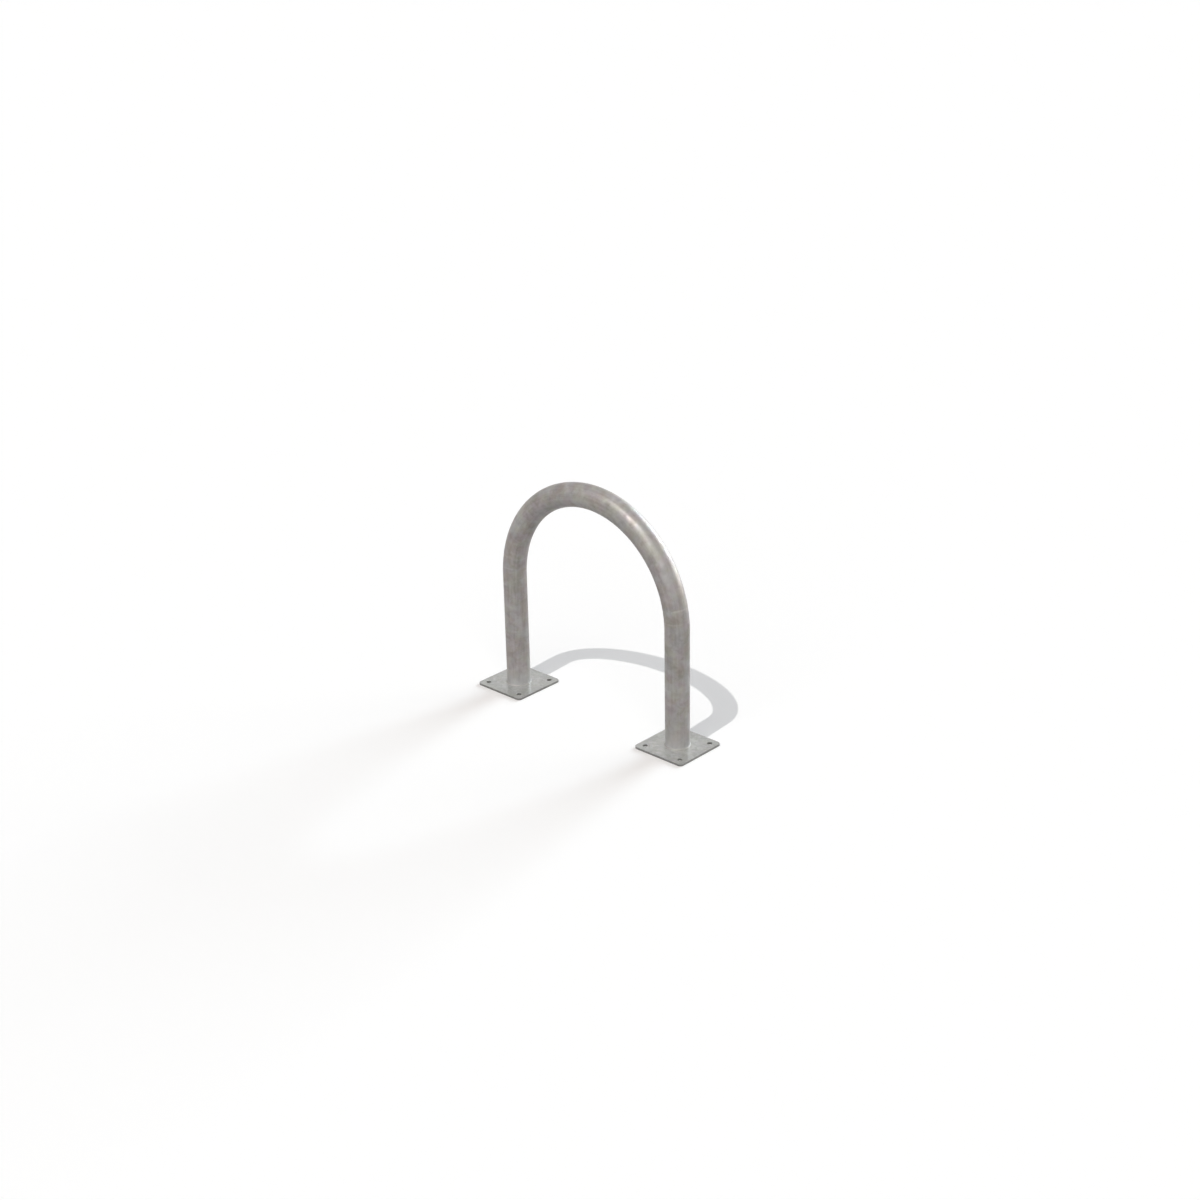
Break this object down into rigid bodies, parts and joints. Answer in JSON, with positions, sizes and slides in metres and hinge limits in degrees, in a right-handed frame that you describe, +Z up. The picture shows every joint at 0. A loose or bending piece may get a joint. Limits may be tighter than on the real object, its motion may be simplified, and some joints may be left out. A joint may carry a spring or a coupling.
{
  "type": "hoop barrier",
  "caption": "Galvanised steel tube bent into an upright hoop, welded to square foot plates with bolt holes, to be anchored to the ground as a barrier against vehicles.",
  "frame": {"origin": "on the ground, midway between the two legs", "axes": "+X from the left leg to the right leg, +Y across the hoop away from the viewer's side, +Z up"},
  "size_m": [0.6898, 0.15, 0.606],
  "materials": {
    "galvanised_tube": "hot-dip galvanised, weathered to a warm grey with a faint mottle",
    "galvanised_plate": "hot-dip galvanised, satin",
    "galvanised_weld": "weld bead, galvanised over"
  },
  "bodies": {
    "root": {"hoop_tube": "galvanised_tube", "base_plate_left": "galvanised_plate", "base_plate_right": "galvanised_plate", "weld_left": "galvanised_weld", "weld_right": "galvanised_weld"}
  },
  "joints": []
}
